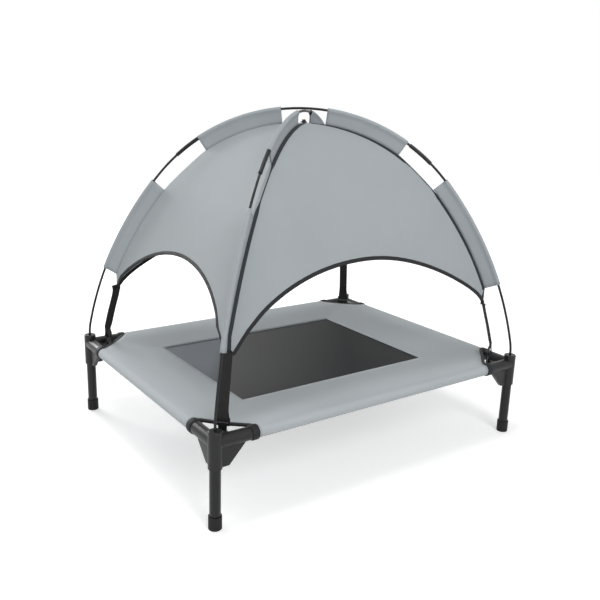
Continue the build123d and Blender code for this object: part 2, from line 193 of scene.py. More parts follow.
floor_paint = blank_material("painted_studio_floor")
matt = add_node(floor_paint, "BsdfDiffuse", links={"Color": linear(floor_diffuse)})
spot = add_node(floor_paint, "NewGeometry").outputs["Position"]
away = add_node(floor_paint, "VectorMath", {"operation": "LENGTH"}, {0: spot})
floor_glow = add_node(floor_paint, "MapRange", links={
    "Value": away.outputs["Value"], "From Min": glow_start, "From Max": glow_end,
    "To Min": floor_glow_near, "To Max": floor_glow_far})
glow = add_node(floor_paint, "Emission", links={
    "Color": white_light, "Strength": floor_glow.outputs[0]})
both = add_node(floor_paint, "AddShader", links={0: matt.outputs[0], 1: glow.outputs[0]})
shown = add_node(floor_paint, "MixShader", links={
    0: in_view(floor_paint), 1: matt.outputs[0], 2: both.outputs[0]})
close_material(floor_paint, shown)

floor_mesh = bpy.data.meshes.new("floor")
floor_mesh.from_pydata(
    [(x * floor_half, y * floor_half, 0) for x, y in ((-1, -1), (1, -1), (1, 1), (-1, 1))],
    [], [(0, 1, 2, 3)])
floor_mesh.materials.append(floor_paint)
floor = bpy.data.objects.new("floor", floor_mesh)
scene.collection.objects.link(floor)


def lamp(name, place, aim, size, watts):
    data = bpy.data.lights.new(name, "AREA")
    data.shape = "DISK"
    data.size = size
    data.energy = watts
    holder = bpy.data.objects.new(name, data)
    scene.collection.objects.link(holder)
    beam = (Vector(aim) - Vector(place)).to_track_quat("-Z", "Y")
    holder.matrix_world = Matrix.Translation(place) @ beam.to_matrix().to_4x4()


lamp("front_lamp", (-0.4, -2.9, 2.1), (0, 0, 0.35), 1.8, 48)
lamp("back_lamp", (-0.7, 2.8, 1.3), (-0.1, 0.1, 0.2), 1.4, 50)
lamp("top_lamp", (-0.4, -0.15, 3.1), (0, 0, 0.2), 0.8, 18)
print("sky light", sky_before, sky_behind, "floor glow", floor_glow_near, floor_glow_far)

# %% [markdown]
# ## Woven grey polyester
# The dome and the cot are plain-woven polyester with a coated back: threads about half a
# millimetre apart, a dull surface with a faint bloom at grazing angles. Two crossed wave textures
# give the weave; a slow noise gives the slight unevenness that stretched cloth has. An image
# would repeat; waves in the cloth's own flat coordinates stay true to size everywhere.

# %% Cloth material
thread_drawn = 1.6 * mm   # real threads lie 0.5 mm apart, too fine to show
thread_depth = 0.25 * mm
wave_factor = 20   # the wave texture multiplies its coordinate by this


def wave_scale(period):
    return 2 * pi / (wave_factor * period)


def weave(material):
    flat = add_node(material, "TexCoord").outputs["UV"]
    ways = [
        add_node(material, "TexWave", {"bands_direction": way}, {
            "Vector": flat, "Scale": wave_scale(thread_drawn), "Distortion": 0.35,
            "Detail": 1.0, "Detail Scale": 2.0}).outputs["Fac"]
        for way in ("X", "Y")]
    return math_node(material, "MULTIPLY", *ways)


def woven_cloth(name, dark, light, roughness, sheen):
    material = blank_material(name)
    threads = weave(material)
    place = add_node(material, "TexCoord").outputs["Object"]
    cloud = add_node(material, "TexNoise", links={
        "Vector": place, "Scale": 7.0, "Detail": 3.0, "Roughness": 0.55})
    uneven = add_node(material, "MapRange", links={
        "Value": cloud.outputs["Fac"], "From Min": 0.3, "From Max": 0.7,
        "To Min": 0.35, "To Max": 0.65})
    share = math_node(material, "MULTIPLY_ADD", threads, 0.35, uneven.outputs[0])
    relief = add_node(material, "Bump", links={
        "Height": threads, "Strength": 0.35, "Distance": thread_depth})
    cloth = add_node(material, "BsdfPrincipled", links={
        "Base Color": mix_colours(material, share, linear(dark), linear(light)),
        "Roughness": roughness, "Normal": relief.outputs[0],
        "Sheen Weight": sheen, "Sheen Roughness": 0.45, "Specular IOR Level": 0.25})
    return close_material(material, cloth)


grey_cloth = woven_cloth("woven_polyester_grey", "#9AA0A3", "#A7ADB0", 0.82, 0.06)
# The cot's cloth is the dome's cloth painted lighter: painted light, against the shade that the
# canopy lays on the cot
cot_weave_painted_light = woven_cloth("woven_polyester_cot_painted_light", "#A9AFB2", "#B5BBBE", 0.82, 0.06)
# The fins' cloth is the dome's cloth painted a shade darker: painted shade, for doubled cloth that
# lets less light through than the single panels
fin_cloth_painted_shade = woven_cloth("woven_polyester_doubled_painted_shade", "#989EA2", "#A4AAAE", 0.84, 0.05)

# %% [markdown]
# ## Open mesh
# The middle of the cot is a knitted polyester mesh, coated and nearly black, with holes about
# a millimetre across. A pattern of holes is drawn in the flat coordinates. Real holes would need
# a quarter of a million faces, and at this distance the eye only sees a dull dark grey.
# Light and shade are painted into its colour: painted light makes it greyer towards the left
# doorway and paler and bluer at its left end, and painted shade, as from the canopy, darkens it to
# the right.

# %% Mesh material
hole_pitch = 2.6 * mm   # real holes repeat every 1.2 mm; drawn coarser so that they show
hole_depth = 0.3 * mm
picture_right = (0.815, -0.58, 0.0)
# Where the painted shade on the right turns to painted light, and where that turns paler at the
# left end
light_across_from, light_across_to = 0.12, -0.15   # metres along that way
light_end_from, light_end_to = -0.14, -0.19
open_mesh = blank_material("knitted_mesh_black")
flat = add_node(open_mesh, "TexCoord").outputs["UV"]
holes = add_node(open_mesh, "TexVoronoi", {"feature": "F1"}, {
    "Vector": flat, "Scale": 1 / hole_pitch, "Randomness": 0.12})
rim = add_node(open_mesh, "MapRange", links={
    "Value": holes.outputs["Distance"], "From Min": 0.22, "From Max": 0.5})
place = add_node(open_mesh, "TexCoord").outputs["Object"]
sideways = add_node(open_mesh, "VectorMath", {"operation": "DOT_PRODUCT"}, {
    0: place, 1: picture_right})
# Painted light and shade: share of the lighter middle colour, from the dark right towards the left
painted_light_across = add_node(open_mesh, "MapRange", links={
    "Value": sideways.outputs["Value"], "From Min": light_across_from, "From Max": light_across_to})
# Painted light: share of the paler, bluer colour at the left end
painted_light_left_end = add_node(open_mesh, "MapRange", {"interpolation_type": "SMOOTHSTEP"}, {
    "Value": sideways.outputs["Value"], "From Min": light_end_from, "From Max": light_end_to})


# Mesh colour with painted light and shade: darkest on the right, lighter to the left, palest at the
# left end
def mesh_colour_painted_light(right, middle, left):
    painted_shade_part = mix_colours(open_mesh, painted_light_across.outputs[0], linear(right), linear(middle))
    return mix_colours(open_mesh, painted_light_left_end.outputs[0], painted_shade_part, linear(left))


# Both colours of the hole pattern carry the same painted light and shade
dark_yarn_painted_light = mesh_colour_painted_light("#111213", "#424242", "#62676B")
light_yarn_painted_light = mesh_colour_painted_light("#28292B", "#616161", "#8A9096")
mesh_relief = add_node(open_mesh, "Bump", links={
    "Height": rim.outputs[0], "Strength": 0.5, "Distance": hole_depth})
mesh_yarn = add_node(open_mesh, "BsdfPrincipled", links={
    "Base Color": mix_colours(open_mesh, rim.outputs[0], dark_yarn_painted_light, light_yarn_painted_light),
    "Roughness": 0.6, "Normal": mesh_relief.outputs[0], "Specular IOR Level": 0.15})
close_material(open_mesh, mesh_yarn)

# %% [markdown]
# ## Webbing and tapes
# The straps are polypropylene webbing with ribs across and firm woven edges. The bindings are
# narrow folded tape, black round the edges of the cloth and dark grey along the dome's seams.
# All three are the same weave in other sizes and colours, so one function makes them: ribs that run
# across the strip, made with one wave along its length.

# %% Ribbed tape materials
def ribbed_tape(name, dark, light, rib, depth, roughness):
    material = blank_material(name)
    flat_place = add_node(material, "TexCoord").outputs["UV"]
    ribs = add_node(material, "TexWave", {"bands_direction": "Y"}, {
        "Vector": flat_place, "Scale": wave_scale(rib), "Distortion": 0.5, "Detail": 1.0})
    place = add_node(material, "TexCoord").outputs["Object"]
    fuzz = add_node(material, "TexNoise", links={"Vector": place, "Scale": 400.0, "Detail": 2.0})
    share = math_node(material, "MULTIPLY", ribs.outputs["Fac"], fuzz.outputs["Fac"])
    relief = add_node(material, "Bump", links={
        "Height": ribs.outputs["Fac"], "Strength": 0.5, "Distance": depth})
    strip = add_node(material, "BsdfPrincipled", links={
        "Base Color": mix_colours(material, share, linear(dark), linear(light)),
        "Roughness": roughness, "Normal": relief.outputs[0], "Specular IOR Level": 0.3})
    return close_material(material, strip)


webbing = ribbed_tape("polypropylene_webbing_black", "#141415", "#242425", 1.8 * mm, 0.3 * mm, 0.7)
black_tape = ribbed_tape("folded_binding_tape_black", "#131315", "#232326", 1.4 * mm, 0.2 * mm, 0.6)
seam_tape = ribbed_tape("seam_tape_charcoal", "#1F2427", "#343A3D", 1.4 * mm, 0.2 * mm, 0.65)

# %% [markdown]
# ## Plastic, rubber, steel and glass fibre
# The brackets, hooks and tips are injection-moulded polypropylene with a fine sparked grain,
# the legs and rails are powder-coated steel with a slight orange-peel, the feet are matt moulded
# rubber, the rods are pigmented glass fibre and the ferrules dark coated metal.
# Each is the same recipe, a grain of a given size under a colour and a shine that vary slowly,
# and the numbers tell them apart.

# %% Hard materials
def grained(name, dark, light, grain, depth, roughness, spread, metallic=0.0):
    material = blank_material(name)
    place = add_node(material, "TexCoord").outputs["Object"]
    pits = add_node(material, "TexNoise", links={
        "Vector": place, "Scale": 1 / grain, "Detail": 2.0, "Roughness": 0.6})
    handling = add_node(material, "TexNoise", links={
        "Vector": place, "Scale": 22.0, "Detail": 4.0, "Roughness": 0.6})
    shine = add_node(material, "MapRange", links={
        "Value": handling.outputs["Fac"], "From Min": 0.3, "From Max": 0.7,
        "To Min": roughness - spread, "To Max": roughness + spread})
    relief = add_node(material, "Bump", links={
        "Height": pits.outputs["Fac"], "Strength": 0.35, "Distance": depth})
    body = add_node(material, "BsdfPrincipled", links={
        "Base Color": mix_colours(
            material, handling.outputs["Fac"], linear(dark), linear(light)),
        "Roughness": shine.outputs[0], "Normal": relief.outputs[0],
        "Metallic": metallic, "Specular IOR Level": 0.33})
    return close_material(material, body)


moulded_plastic = grained(
    "moulded_polypropylene_black", "#151517", "#202022", 0.9 * mm, 0.12 * mm, 0.36, 0.05)
coated_steel = grained(
    "powder_coated_steel_black", "#0D0D0F", "#151517", 1.6 * mm, 0.06 * mm, 0.3, 0.04)
foot_rubber = grained(
    "moulded_rubber_black", "#131314", "#1C1C1D", 0.8 * mm, 0.1 * mm, 0.72, 0.06)
glass_fibre = grained(
    "glass_fibre_rod_black", "#0E0E0F", "#151516", 0.7 * mm, 0.05 * mm, 0.42, 0.05)
ferrule_metal = grained(
    "coated_metal_ferrule", "#1B1B1D", "#29292C", 1.0 * mm, 0.04 * mm, 0.32, 0.05, metallic=0.4)

# %% [markdown]
# ## Rigid CAD pieces
# Brackets, tubes, feet, rods, ferrules, tips, hooks and the apex knob keep their CAD shape.
# Giving each the right material is all they need, and their names say which it is.

# %% Materials on the CAD nodes
finish_of = {
    "corner_bracket": moulded_plastic,
    "leg_tube": coated_steel,
    "rail": coated_steel,
    "foot_cap": foot_rubber,
    "pole_lower": glass_fibre,
    "pole_crown": glass_fibre,
    "pole_tip": moulded_plastic,
    "ferrule": ferrule_metal,
    "strap_hook": moulded_plastic,
    "apex_knob": moulded_plastic,
}
dressed = 0
for name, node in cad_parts.items():
    for start, finish in finish_of.items():
        if name.startswith(start):
            node.data.materials.clear()
            node.data.materials.append(finish)
            dressed += 1
print("CAD nodes dressed:", dressed)

# %% [markdown]
# ## Places read from the frame
# The cloth follows the CAD model, so its main places come from the CAD nodes' boxes:
# the leg axes give the four corners and the rod crowns give the height of the dome.

# %% Corners and arches
corners = {
    "front_left": (-1, -1), "front_right": (1, -1),
    "rear_left": (-1, 1), "rear_right": (1, 1),
}
leg_low, leg_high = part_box("leg_tube_front_right")
leg_x = (leg_low.x + leg_high.x) / 2
leg_y = -(leg_low.y + leg_high.y) / 2
half_diagonal = hypot(leg_x, leg_y)
share_x, share_y = leg_x / half_diagonal, leg_y / half_diagonal
rail_low, rail_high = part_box("rail_front")
rail_height = (rail_low.z + rail_high.z) / 2
rod_radius = 2.5 * mm
over_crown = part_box("pole_crown_over")[1].z - rod_radius
under_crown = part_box("pole_crown_under")[1].z - rod_radius
bend_radius = 120 * mm
bend_rise = 3 * mm
bend_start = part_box("corner_bracket_front_left")[1].z + bend_rise
crown_angle, shoulder_angle = radians(50), radians(78)


def arch(crown):
    s1, c1 = sin(crown_angle), cos(crown_angle)
    s2, c2 = sin(shoulder_angle), cos(shoulder_angle)
    run = half_diagonal - bend_radius * (1 - s2)
    rise = crown - bend_start - bend_radius * c2
    scale = s1 * (c1 - c2) - (s2 - s1) * (1 - c1)
    crown_r = (run * (c1 - c2) - (s2 - s1) * rise) / scale
    shoulder_r = (s1 * rise - (1 - c1) * run) / scale
    crown_c = np.array((0, crown - crown_r))
    shoulder_c = crown_c + (crown_r - shoulder_r) * np.array((s1, c1))
    return crown_r, shoulder_r, crown_c, shoulder_c


def on_arch(shape, angle, depth):
    # Point of a rod's diagonal plane, (distance out, height), drawn in from the rod by a depth
    crown_r, shoulder_r, crown_c, shoulder_c = shape
    centre, radius = (crown_c, crown_r) if angle <= crown_angle else (shoulder_c, shoulder_r)
    return centre + (radius - depth) * np.array((sin(angle), cos(angle)))


def in_space(corner, out, height, across=0.0):
    # Diagonal-plane place to a point of the frame; across is measured square to that plane
    ux, uy = corner[0] * share_x, corner[1] * share_y
    return np.array((ux * out - uy * across, uy * out + ux * across, height))


over_arch, under_arch = arch(over_crown), arch(under_crown)
print("leg axes", leg_x, leg_y, "crowns", over_crown, under_crown, "rod radii", over_arch[:2])

# %% [markdown]
# ## Sheets from rows of points
# Nearly all the cloth is a grid: rows of points with quads between them. One helper makes the mesh
# and unrolls it, with texture coordinates in real metres along the rows and across
# them, so that every weave keeps its size. Lofted curves would also work, but rows of points can
# follow the CAD shape exactly.

# %% Grid helper
def grid_faces(rows, columns, ring):
    last = columns if ring else columns - 1
    return [
        (j * columns + i, j * columns + (i + 1) % columns,
         (j + 1) * columns + (i + 1) % columns, (j + 1) * columns + i)
        for j in range(rows - 1) for i in range(last)]


def run_on(steps):
    return np.concatenate(([0], np.cumsum(steps)))


def skin(name, grids, material, ring=False, caps=False):
    points, faces, flats = [], [], []
    for grid in grids:
        grid = np.asarray(grid, float)
        rows, columns = grid.shape[:2]
        start = len(points)
        middle = grid[rows // 2]
        closing = np.concatenate((middle, middle[:1]))
        along = run_on(np.linalg.norm(np.diff(closing, axis=0), axis=1))
        down = run_on(np.linalg.norm(np.diff(grid, axis=0), axis=2).mean(axis=1))
        points += [tuple(p) for p in grid.reshape(-1, 3)]
        for face in grid_faces(rows, columns, ring):
            faces.append(tuple(start + k for k in face))
            i = face[0] % columns
            j = face[0] // columns
            flats += [(along[i], down[j]), (along[i + 1], down[j]),
                      (along[i + 1], down[j + 1]), (along[i], down[j + 1])]
        if caps:
            for row, step in ((0, -1), (rows - 1, 1)):
                cap = [start + row * columns + i for i in range(columns)][::step]
                faces.append(tuple(cap))
                flats += [(0.0, 0.0)] * columns
    mesh = bpy.data.meshes.new(name)
    mesh.from_pydata(points, [], faces)
    layer = mesh.uv_layers.new(name="flat")
    layer.data.foreach_set("uv", np.array(flats, np.float32).ravel())
    mesh.polygons.foreach_set("use_smooth", [True] * len(mesh.polygons))
    mesh.materials.append(material)
    piece = bpy.data.objects.new(name, mesh)
    scene.collection.objects.link(piece)
    return piece


def thicken(piece, thickness):
    layer = piece.modifiers.new("cloth_thickness", "SOLIDIFY")
    layer.thickness = thickness
    layer.offset = -1


def measure(piece):
    mesh = piece.evaluated_get(bpy.context.evaluated_depsgraph_get()).to_mesh()
    area = sum(face.area for face in mesh.polygons)
    print(piece.name, "faces", len(mesh.polygons), "area m2", round(area, 4))
    return area


# %% [markdown]
# ## The dome's seam
# The dome is cut in four and sewn together along the two diagonals. Each seam runs about three
# centimetres inside its rod where the sleeves hold it, and is pulled flatter across the open
# windows, as stretched cloth is. Below the last sleeve it drops straight to the corner strap.

# %% Seam curve
fin_width = 29 * mm
ferrule_half = 29.1 * mm / over_arch[0]   # as an angle of the rod's crown
sleeve_runs = ((radians(7.0), radians(38.3) - ferrule_half), (radians(51.8), radians(68.2)))
corner_set_in = 69.2 * mm
corner_out = half_diagonal - corner_set_in
hem_corner = 292.3 * mm
seam_start = radians(0.7)
seam_steps = 44
drop_steps = 10
chord_share = 0.6   # 1 would pull the seam quite straight across a window


def seam_point(angle):
    first, last = sleeve_runs[0][1], sleeve_runs[1][0]
    if first < angle < last:
        ends = on_arch(over_arch, first, fin_width), on_arch(over_arch, last, fin_width)
        chord = ends[0] + (ends[1] - ends[0]) * (angle - first) / (last - first)
        return chord * chord_share + on_arch(over_arch, angle, fin_width) * (1 - chord_share)
    return on_arch(over_arch, angle, fin_width)


seam_angles = np.linspace(seam_start, sleeve_runs[1][1], seam_steps)
seam = [seam_point(a) for a in seam_angles]
seam_foot = np.array((corner_out, hem_corner))
seam += [seam[-1] + (seam_foot - seam[-1]) * k / drop_steps for k in range(1, drop_steps + 1)]
seam = np.array(seam)

# The straps hang half-way between two rails, so the lower seam is drawn over towards them
corner_shift = corner_set_in * (share_x - share_y) / 2
shift_start = 575 * mm
shift_power = 0.9


def drawn_at(height):
    part = (shift_start - height) / (shift_start - hem_corner)
    return np.clip(part, 0, 1) ** shift_power


def out_at(height):
    return np.interp(height, seam[::-1, 1], seam[::-1, 0])


print("seam points", len(seam), "from", seam[0], "to", seam[-1])

# %% [markdown]
# ## The dome
# Each quarter is drawn out level from seam to seam and ends in an arched hem. The rows
# start level at the top and take up the arch of the hem towards the bottom. The cloth is pulled
# between the seams and the hem, so it sinks a few millimetres in the middle, and soft folds run up
# from the corners where the straps pull. All four quarters are one mesh joined along the seams.

# %% One continuous canopy sheet
canopy_thickness = 1.2 * mm
panel_columns = 45
column_turn = 0.82   # below 1, the columns crowd less towards the seams
panel_sink = 4.0 * mm
sink_past_hem = 40 * mm
fold_depth, fold_waves, fold_reach = 1.1 * mm, 46, 0.18
arch_power = 1.5
weld_gap = 0.02 * mm
hem_start_rise = 8 * mm   # the arch itself ends this far above the seam's foot
soft_turn_reach = 9 * mm   # and swings down to it over this length
# End of a side where the strap pulls harder, as the sign of the place along the hem
steep_corner = {"front": -1, "left": 1, "rear": 0, "right": 0}
steep_turn, steep_turn_reach = 24.1 * mm, 24 * mm
steep_end = 15.5 * mm   # there the hem ends at the edge of the strap, this far from the seam
steep_drop = 5 * mm   # and this far under the seam's foot, behind the strap
hem_skew = {"front": 5.5 * mm, "rear": 0.0, "left": 0.0, "right": 0.0}
hem_tops = {"front": 417.6 * mm, "rear": 417.6 * mm, "left": 409.2 * mm, "right": 409.2 * mm}
side_ways = {"front": (0, -1), "right": (1, 0), "rear": (0, 1), "left": (-1, 0)}


def side_shares(side):
    return (share_x, share_y) if side in ("front", "rear") else (share_y, share_x)


def hem_height(side, along):
    reach = side_shares(side)[0] * corner_out
    rise = hem_tops[side] - hem_corner - hem_start_rise
    radius = (reach ** 2 + rise ** 2) / (2 * rise)
    arc = hem_tops[side] - radius + np.sqrt(radius ** 2 - along ** 2)
    part = along / reach
    arc -= hem_skew[side] * np.sin(pi * part) * np.abs(part)
    inset = reach - np.abs(along)
    soft = arc - hem_start_rise * np.exp(-inset / soft_turn_reach)
    steep = arc - steep_turn * np.exp(-np.clip(inset - steep_end, 0, None) / steep_turn_reach)
    steep = np.maximum(steep, hem_corner - steep_drop)
    return np.where(along * steep_corner[side] > 0, steep, soft)


spread = np.sin(np.linspace(-pi / 2, pi / 2, panel_columns) * column_turn)
spread = spread / sin(column_turn * pi / 2)


def panel_rows(side):
    # Rows of (along, out, height): along runs left to right seen from outside
    wide, deep = side_shares(side)
    reach = wide * corner_out
    arch_rise = hem_height(side, spread * reach) - hem_corner
    top, foot = seam[0, 1], seam[-1, 1]
    rows = []
    for out, height in seam:
        share = (top - height) / (top - foot)
        z = height + arch_rise * share ** arch_power
        along = spread * wide * out
        lowered = np.clip((top - z) / (top - hem_tops[side] + sink_past_hem), 0, 1)
        hold = (1 - spread ** 2) * np.sin(pi * lowered)
        pull = np.exp(-(1 - np.abs(spread)) / fold_reach) * share ** 3
        fold = fold_depth * pull * np.cos(spread * fold_waves) * (1 - spread ** 8)
        depth = deep * out_at(z) - panel_sink * hold + fold
        rows.append(np.stack((along, depth, z), axis=1))
    return np.array(rows)


def stand(side, rows):
    # Turns (along, out, height) into points of the frame for one side
    nx, ny = side_ways[side]
    along, out, z = rows[..., 0], rows[..., 1], rows[..., 2]
    return np.stack((nx * out - ny * along, ny * out + nx * along, z), axis=-1)


def draw_over(grid):
    # Moves the lower seams, and the cloth beside them, towards the straps
    ends = np.where(spread < 0, 0, panel_columns - 1)
    way = np.sign(grid[-1, ends, :2]) * (1, -1)
    amount = corner_shift * drawn_at(seam[:, 1])[:, None] * spread ** 4
    grid[..., :2] += amount[..., None] * way[None]
    return grid


def facing_out(face):
    # Positive when a face looks outward
    middle = face.calc_center_median()
    return face.normal.dot(Vector((middle.x, middle.y, 0.1)))


panels = {side: draw_over(stand(side, panel_rows(side))) for side in side_ways}
dome = skin("canopy_cloth", [p[:, ::-1] for p in panels.values()], grey_cloth)
shaped = bmesh.new()
shaped.from_mesh(dome.data)
bmesh.ops.remove_doubles(shaped, verts=shaped.verts, dist=weld_gap)
if sum(facing_out(face) for face in shaped.faces) < 0:
    bmesh.ops.reverse_faces(shaped, faces=shaped.faces)
shaped.to_mesh(dome.data)
shaped.free()
dome_area = measure(dome)
thicken(dome, canopy_thickness)
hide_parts(*["canopy_panel_" + side for side in side_ways])
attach(dome, "canopy")

# %% [markdown]
# ## Flat tapes along a line
# Bindings, seam tapes and straps are all flat strips that follow a line. One helper sweeps a
# rounded flat section along points, with a direction that says which way the flat side faces.
# A curve with a bevel object could do this too, but it twists where the line turns.

# %% Tape helper
section_points = 16
across_power, up_power = 0.45, 0.75   # 1 and 1 would make the section an ellipse


def flat_section(width, thickness):
    turn = np.linspace(0, 2 * pi, section_points, endpoint=False) + pi / section_points
    across = np.sign(np.cos(turn)) * np.abs(np.cos(turn)) ** across_power * width / 2
    up = np.sign(np.sin(turn)) * np.abs(np.sin(turn)) ** up_power * thickness / 2
    return across, up


def swept(path, facing, width, thickness, closed=False, shares=1.0):
    # Shares narrow the tape from point to point, as parts of its full width
    path, facing = np.asarray(path, float), np.asarray(facing, float)
    if closed:
        path = np.concatenate((path, path[:1]))
        facing = np.concatenate((facing, facing[:1]))
    ahead = np.gradient(path, axis=0)
    if closed:
        ahead[0] = ahead[-1] = path[1] - path[-2]
    side = np.cross(ahead, facing)
    side /= np.linalg.norm(side, axis=1)[:, None]
    lift = np.cross(side, ahead)
    lift /= np.linalg.norm(lift, axis=1)[:, None]
    across, up = flat_section(width, thickness)
    side *= np.broadcast_to(shares, len(path))[:, None]
    wide = path[:, None] + side[:, None] * across[None, :, None]
    return wide + lift[:, None] * up[None, :, None]


print("tape helper ready, section of", section_points, "points")

# %% [markdown]
# ## Hem bindings
# Black tape is folded over the arched edge of each quarter. It is drawn along the last row of the
# cloth, mostly on the cloth and a little past its edge, and faces outward as the cloth does there.

# %% Hem tapes
hem_tape_width = 8 * mm
hem_tape_thickness = 2.6 * mm
hem_tape_inset = 0.35   # middle of the tape from the edge, as a part of its width


def hem_facing(grid):
    down = grid[-1] - grid[-2]
    along = np.gradient(grid[-1], axis=0)
    facing = np.cross(along, down)
    facing /= np.linalg.norm(facing, axis=1)[:, None]
    outward = np.einsum("ij,ij->i", facing, grid[-1] * (1, 1, 0))
    return facing * np.sign(outward.mean())


for side, grid in panels.items():
    facing = hem_facing(grid)
    inward = grid[-4] - grid[-1]
    inward /= np.linalg.norm(inward, axis=1)[:, None]
    path = grid[-1] + inward * hem_tape_width * hem_tape_inset - facing * canopy_thickness / 2
    strip = swept(path, facing, hem_tape_width, hem_tape_thickness)
    tape = skin("hem_binding_tape_" + side, [strip], black_tape, ring=True, caps=True)
    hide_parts("hem_binding_" + side)
    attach(tape, "canopy")
print("hem tapes:", list(panels))

# %% [markdown]
# ## Seam tapes
# Along the front and rear quarters a charcoal tape covers the seam allowance, close beside
# the sleeves. It follows the outer columns of those two quarters, set in by half its width.
# Across the open windows there is no sleeve to cover, and the tape is folded to a narrow line,
# which stays against the edge of the cloth on one of the two columns.

# %% Seam tapes
seam_tape_width = 8 * mm
seam_tape_thickness = 1.8 * mm
seam_tape_gap = 0.6 * mm   # from the seam to the edge of the tape
seam_tape_bed = 0.2 * mm   # the tape's middle lies this far below the face of the cloth
window_share = 0.3   # width across a window, as a part of the full width
fold_run = radians(4)
tape_angles = np.concatenate((seam_angles, np.full(drop_steps, sleeve_runs[1][1])))
inside = np.minimum(tape_angles - sleeve_runs[0][1], sleeve_runs[1][0] - tape_angles)
inside = np.clip(inside / fold_run, 0, 1)
tape_shares = 1 - (1 - window_share) * inside ** 2 * (3 - 2 * inside)
for side in ("front", "rear"):
    grid = panels[side]
    strips = []
    for edge in (0, -1):
        line = grid[:, edge]
        ahead = np.gradient(line, axis=0)
        ahead /= np.linalg.norm(ahead, axis=1)[:, None]
        inward = grid[:, 3 if edge == 0 else -4] - line
        inward -= ahead * np.einsum("ij,ij->i", inward, ahead)[:, None]
        inward /= np.linalg.norm(inward, axis=1)[:, None]
        facing = np.cross(ahead, inward)
        facing *= np.sign(np.einsum("ij,ij->i", facing, line * (1, 1, 0)).mean())
        facing /= np.linalg.norm(facing, axis=1)[:, None]
        held_in = tape_shares if edge else np.ones(len(line))
        set_in = seam_tape_width / 2 * held_in + seam_tape_gap
        path = line + inward * set_in[:, None] - facing * seam_tape_bed
        strips.append(swept(
            path[1:], facing[1:], seam_tape_width, seam_tape_thickness, shares=tape_shares[1:]))
    tape = skin("seam_tape_" + side, strips, seam_tape, ring=True, caps=True)
    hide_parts("seam_binding_" + side)
    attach(tape, "canopy")
print("seam tapes: front and rear")

# %% [markdown]
# ## Pole sleeves
# At each corner the seam allowance is carried out as a doubled fin with a loop round the rod.
# The fin is one strip of cloth folded round the rod, so its section is a long narrow loop, like a
# keyhole. It is swept along the arch in two lengths with an open window between them.

# %% Folded fins
fin_half = 0.9 * mm
fin_lap = 1.0 * mm   # the fin reaches this far past the seam
flank_shares = (1, 0.8, 0.6, 0.42)
neck_depths = (9.5 * mm, 7.2 * mm, 5.4 * mm)
neck_halves = (fin_half * 1.05, fin_half * 1.35, 2.0 * mm)
loop_radius = 4.0 * mm
loop_turn, loop_points = radians(138), 15
fin_steps = 26
sleeve_cloth = 0.7 * mm
# One front corner's window is sewn a little higher, the other's sleeve runs on behind the strap
window_moved = {"front_right": (radians(-1.0), radians(-2.4))}
sleeve_end_moved = {"front_left": radians(2.3)}


def fin_section(shape, angle):
    # Folded outline from one side of the seam, over the rod, to the other side: (depth, across)
    rod = on_arch(shape, angle, 0)
    foot = on_arch(over_arch, angle, fin_width + fin_lap)
    if angle > sleeve_runs[1][1]:
        foot[0] = min(foot[0], out_at(foot[1]))
    depth = hypot(*(rod - foot))
    flank = [depth * share for share in flank_shares] + list(neck_depths)
    halves = [fin_half] * len(flank_shares) + list(neck_halves)
    left = [(d, -half) for d, half in zip(flank, halves)]
    turn = np.linspace(-loop_turn, loop_turn, loop_points)
    over = [(-loop_radius * cos(a), loop_radius * sin(a)) for a in turn]
    return left + over + [(d, -half) for d, half in reversed(left)]


for name, corner in corners.items():
    shape = over_arch if corner[0] * corner[1] < 0 else under_arch
    strips = []
    upper_end, lower_start = window_moved.get(name, (0, 0))
    upper = sleeve_runs[0][0], sleeve_runs[0][1] + upper_end
    lower = sleeve_runs[1][0] + lower_start, sleeve_runs[1][1] + sleeve_end_moved.get(name, 0)
    for first, last in (upper, lower):
        rows = []
        for angle in np.linspace(first, last, fin_steps):
            place = on_arch(shape, angle, 0)
            inward = np.array((-sin(angle), -cos(angle)))
            section = fin_section(shape, angle)
            seam_height = on_arch(over_arch, angle, fin_width)[1]
            lean = drawn_at(seam_height) * corner_shift / section[0][0]
            row = np.array([in_space(corner, *(place + inward * depth), across)
                            for depth, across in section])
            depths = np.clip([depth for depth, across in section], 0, None)
            row[:, :2] += np.outer(lean * depths, (corner[0], -corner[1]))
            rows.append(row)
        strips.append(np.array(rows))
    sleeve = skin("pole_sleeve_cloth_" + name, strips, fin_cloth_painted_shade)
    sleeve_area = measure(sleeve)
    thicken(sleeve, sleeve_cloth)
    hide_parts("pole_sleeve_" + name)
    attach(sleeve, "canopy")

# %% [markdown]
# ## Corner straps
# From each low corner of the dome a strap of black webbing runs down to a plastic hook. It
# passes through the hook's slot and is sewn back on itself, so it is drawn as one
# ribbon that goes down the front, round the slot's bar and a little way up behind.

# %% Webbing straps
strap_width = 22 * mm
strap_thickness = 1.5 * mm
hook_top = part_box("strap_hook_front_right")[1].z
hook_reach = -45 * mm
slot_top = hook_top - 5 * mm
slot_half = 3.0 * mm
front_line, back_line = hook_reach + slot_half, hook_reach - slot_half
diagonal = 2 ** 0.5
strap_set_off = 2.2 * mm   # the strap lies this far outside the seam's foot
top_reach = -corner_set_in * (share_x + share_y) / diagonal + strap_set_off
strap_steps = 8
seam_lean = (seam[-2, 0] - seam[-1, 0]) / (seam[-2, 1] - seam[-1, 1])
print("seam leans out by", round(seam_lean, 3), "above the strap")


def at_corner(corner, reach, height):
    # Place on the line half-way between the two rails, measured out from the leg
    slant = reach / diagonal
    return np.array((corner[0] * (leg_x + slant), corner[1] * (leg_y + slant), height))


